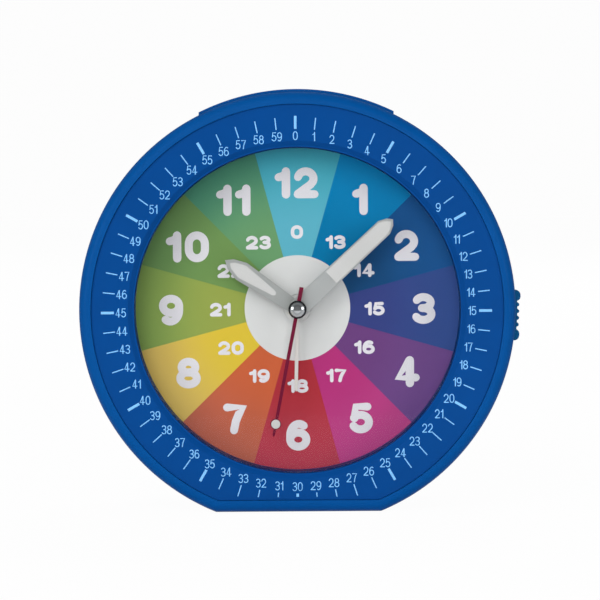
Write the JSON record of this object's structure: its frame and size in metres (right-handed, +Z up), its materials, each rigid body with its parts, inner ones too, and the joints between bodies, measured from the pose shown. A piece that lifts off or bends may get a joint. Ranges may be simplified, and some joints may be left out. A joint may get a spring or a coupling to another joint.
{
  "type": "teaching alarm clock",
  "caption": "Round quartz alarm clock for learning the time: minute scale ring, coloured hour sectors, four hands, snooze bar, side alarm slider, knobs and battery bay behind.",
  "frame": {"origin": "middle of the flat that the clock rests on, half way between its left and right sides", "axes": "+Z up, +Y to the back, +X to the right as seen from the front; the dial looks to -Y"},
  "size_m": [0.1161, 0.0476, 0.1114],
  "materials": {
    "case_blue": "satin moulded ABS",
    "ring_blue": "fine matt moulding with pale printed scale",
    "lens_clear": "clear acrylic",
    "dial_print": "matt print in twelve coloured sectors",
    "plate_white": "matt",
    "back_blue": "fine grained",
    "hand_grey": "grey frame with pale luminous inlay",
    "second_red": "dark red paint",
    "alarm_pale": "pale matt",
    "chrome": "polished",
    "dark_blue": "satin",
    "clear_grey": "smooth",
    "wheel_white": "smooth acetal",
    "wheel_tan": "smooth acetal",
    "steel": "bright",
    "copper": "enamelled wire and spring bronze",
    "board_green": "solder mask",
    "black": "moulded",
    "cell_grey": "plain wrap"
  },
  "bodies": {
    "root": {"front_case": "case_blue", "minute_ring": "ring_blue", "lens": "lens_clear", "dial": "dial_print", "dial_carrier": "plate_white", "movement_cover": "clear_grey", "movement_tray": "clear_grey", "middle_plate": "clear_grey", "alarm_contact": "copper", "stator": "steel", "coil": "copper", "snooze_spring_left": "steel", "snooze_spring_right": "steel", "circuit_board": "board_green", "snooze_switch": "black", "quartz_can": "steel", "buzzer": "black", "rear_cover": "back_blue", "battery": "cell_grey", "contact_plus": "steel", "contact_minus": "steel", "slide_switch": "black", "case_screw_1": "steel", "carrier_screw_1": "steel", "case_screw_2": "steel", "carrier_screw_2": "steel", "case_screw_3": "steel", "carrier_screw_3": "steel", "case_screw_4": "steel", "carrier_screw_4": "steel"},
    "minute": {"minute_hand": "hand_grey", "centre_wheel": "wheel_white"},
    "hour": {"hour_hand": "hand_grey", "hour_wheel": "wheel_white"},
    "second": {"second_hand": "second_red", "seconds_wheel": "wheel_white", "centre_cap": "chrome"},
    "third": {"third_wheel": "wheel_tan"},
    "intermediate": {"intermediate_wheel": "wheel_tan"},
    "rotor_body": {"rotor": "black"},
    "time_setting": {"motion_wheel": "wheel_white", "time_knob": "dark_blue"},
    "alarm_setting": {"alarm_setting_wheel": "wheel_tan", "alarm_knob": "dark_blue"},
    "alarm": {"alarm_wheel": "wheel_tan", "alarm_hand": "alarm_pale"},
    "bar": {"snooze_bar": "case_blue"},
    "plunger": {"snooze_plunger": "alarm_pale"},
    "slider": {"alarm_slider": "dark_blue", "slide_switch_lever": "alarm_pale"},
    "door": {"battery_door": "back_blue"}
  },
  "joints": [
    {"name": "minute_turn", "type": "hinge", "parent": "root", "child": "minute", "pos_m": [0, 0, 0.0532], "axis": [0, 1, 0], "continuous": true},
    {"name": "hour_turn", "type": "hinge", "parent": "root", "child": "hour", "pos_m": [0, 0, 0.0532], "axis": [0, 1, 0], "continuous": true},
    {"name": "second_turn", "type": "hinge", "parent": "root", "child": "second", "pos_m": [0, 0, 0.0532], "axis": [0, 1, 0], "continuous": true},
    {"name": "third_turn", "type": "hinge", "parent": "root", "child": "third", "pos_m": [0, 0, 0.0631], "axis": [0, 1, 0], "continuous": true},
    {"name": "intermediate_turn", "type": "hinge", "parent": "root", "child": "intermediate", "pos_m": [0.00525, 0, 0.04411], "axis": [0, 1, 0], "continuous": true},
    {"name": "rotor_turn", "type": "hinge", "parent": "root", "child": "rotor_body", "pos_m": [0.00993, 0, 0.04141], "axis": [0, 1, 0], "continuous": true},
    {"name": "time_knob_turn", "type": "hinge", "parent": "root", "child": "time_setting", "pos_m": [-0.012, 0, 0.0532], "axis": [0, 1, 0], "continuous": true},
    {"name": "alarm_knob_turn", "type": "hinge", "parent": "root", "child": "alarm_setting", "pos_m": [0.015, 0, 0.0532], "axis": [0, 1, 0], "continuous": true},
    {"name": "alarm_turn", "type": "hinge", "parent": "root", "child": "alarm", "pos_m": [0, 0, 0.0532], "axis": [0, 1, 0], "continuous": true},
    {"name": "snooze_press", "type": "slide", "parent": "root", "child": "bar", "axis": [0, 0, -1], "range_m": [0, 0.0008], "stiffness_N_per_m": 400, "springref_m": -0.001, "deforming": ["snooze_spring_left", "snooze_spring_right"]},
    {"name": "plunger_press", "type": "slide", "parent": "root", "child": "plunger", "axis": [0, 0, -1], "range_m": [0, 0.0008]},
    {"name": "slider_slide", "type": "slide", "parent": "root", "child": "slider", "axis": [0, 0, 1], "range_m": [0, 0.0038]},
    {"name": "door_open", "type": "hinge", "parent": "root", "child": "door", "pos_m": [0, 0.0191, 0.0112], "axis": [-1, 0, 0], "range_deg": [0, 60]}
  ],
  "couplings": [
    {"joint": "hour_turn", "follows": "minute_turn", "ratio": 0.083333},
    {"joint": "time_knob_turn", "follows": "minute_turn", "ratio": -0.33333},
    {"joint": "third_turn", "follows": "minute_turn", "ratio": -8},
    {"joint": "second_turn", "follows": "minute_turn", "ratio": 60},
    {"joint": "intermediate_turn", "follows": "minute_turn", "ratio": -300},
    {"joint": "rotor_turn", "follows": "minute_turn", "ratio": 1800},
    {"joint": "alarm_turn", "follows": "alarm_knob_turn", "ratio": -0.5},
    {"joint": "plunger_press", "follows": "snooze_press", "ratio": 1}
  ]
}
